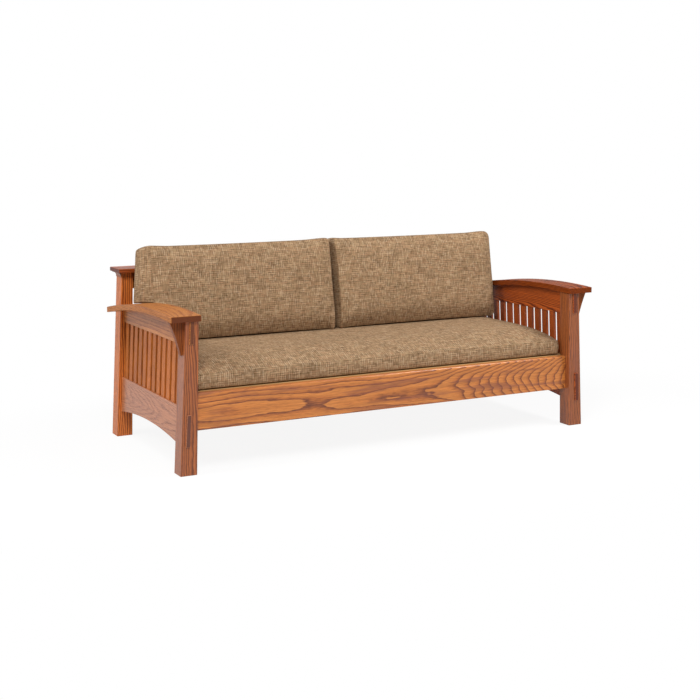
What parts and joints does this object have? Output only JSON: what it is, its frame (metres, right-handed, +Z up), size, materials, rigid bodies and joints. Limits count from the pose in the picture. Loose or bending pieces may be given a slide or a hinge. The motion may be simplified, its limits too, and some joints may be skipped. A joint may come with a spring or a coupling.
{
  "type": "mission settle",
  "caption": "Oak mission settle with bowed arms on corbels, slatted sides with through tenons, a bench seat cushion and loose back cushions.",
  "frame": {"origin": "middle of the outer box, on the floor", "axes": "+X along the length to the right when seen from the front, front faces -Y, +Z up"},
  "size_m": [2.1974, 0.954, 0.9244],
  "materials": {
    "stained_oak": "oak stained orange brown under a satin lacquer, bold cathedral grain",
    "inner_wood": "plain unstained wood and panel, out of sight",
    "tweed": "tan and olive brown tweed, matt",
    "screw_steel": "zinc plated steel"
  },
  "bodies": {
    "frame": {"arm_left": "stained_oak", "arm_right": "stained_oak", "back_bottom_rail": "stained_oak", "back_cap": "stained_oak", "back_slat_1": "stained_oak", "back_slat_2": "stained_oak", "back_slat_3": "stained_oak", "back_slat_4": "stained_oak", "back_slat_5": "stained_oak", "back_slat_6": "stained_oak", "back_slat_7": "stained_oak", "back_slat_8": "stained_oak", "back_slat_9": "stained_oak", "back_top_rail": "stained_oak", "cap_cove_left": "stained_oak", "cap_cove_right": "stained_oak", "cleat_screws": "screw_steel", "corbel_left": "stained_oak", "corbel_right": "stained_oak", "front_apron": "stained_oak", "front_cleat": "inner_wood", "post_back_left": "stained_oak", "post_back_right": "stained_oak", "post_front_left": "stained_oak", "post_front_right": "stained_oak", "rear_cleat": "inner_wood", "seat_bearer": "inner_wood", "seat_deck": "inner_wood", "side_rail_lower_left": "stained_oak", "side_rail_lower_right": "stained_oak", "side_rail_upper_left": "stained_oak", "side_rail_upper_right": "stained_oak", "side_slat_left_1": "stained_oak", "side_slat_left_10": "stained_oak", "side_slat_left_11": "stained_oak", "side_slat_left_12": "stained_oak", "side_slat_left_2": "stained_oak", "side_slat_left_3": "stained_oak", "side_slat_left_4": "stained_oak", "side_slat_left_5": "stained_oak", "side_slat_left_6": "stained_oak", "side_slat_left_7": "stained_oak", "side_slat_left_8": "stained_oak", "side_slat_left_9": "stained_oak", "side_slat_right_1": "stained_oak", "side_slat_right_10": "stained_oak", "side_slat_right_11": "stained_oak", "side_slat_right_12": "stained_oak", "side_slat_right_2": "stained_oak", "side_slat_right_3": "stained_oak", "side_slat_right_4": "stained_oak", "side_slat_right_5": "stained_oak", "side_slat_right_6": "stained_oak", "side_slat_right_7": "stained_oak", "side_slat_right_8": "stained_oak", "side_slat_right_9": "stained_oak"},
    "seat_cushion": {"seat_cushion": "tweed"},
    "back_cushion_left": {"back_cushion_left": "tweed"},
    "back_cushion_right": {"back_cushion_right": "tweed"}
  },
  "joints": [
    {"name": "seat_cushion_pull", "type": "slide", "parent": "frame", "child": "seat_cushion", "axis": [0, -1, 0], "range_m": [0, 0.85]},
    {"name": "back_cushion_left_lift", "type": "slide", "parent": "frame", "child": "back_cushion_left", "axis": [0, 0.1736, 0.9848], "range_m": [0, 0.42]},
    {"name": "back_cushion_right_lift", "type": "slide", "parent": "frame", "child": "back_cushion_right", "axis": [0, 0.1736, 0.9848], "range_m": [0, 0.42]}
  ]
}
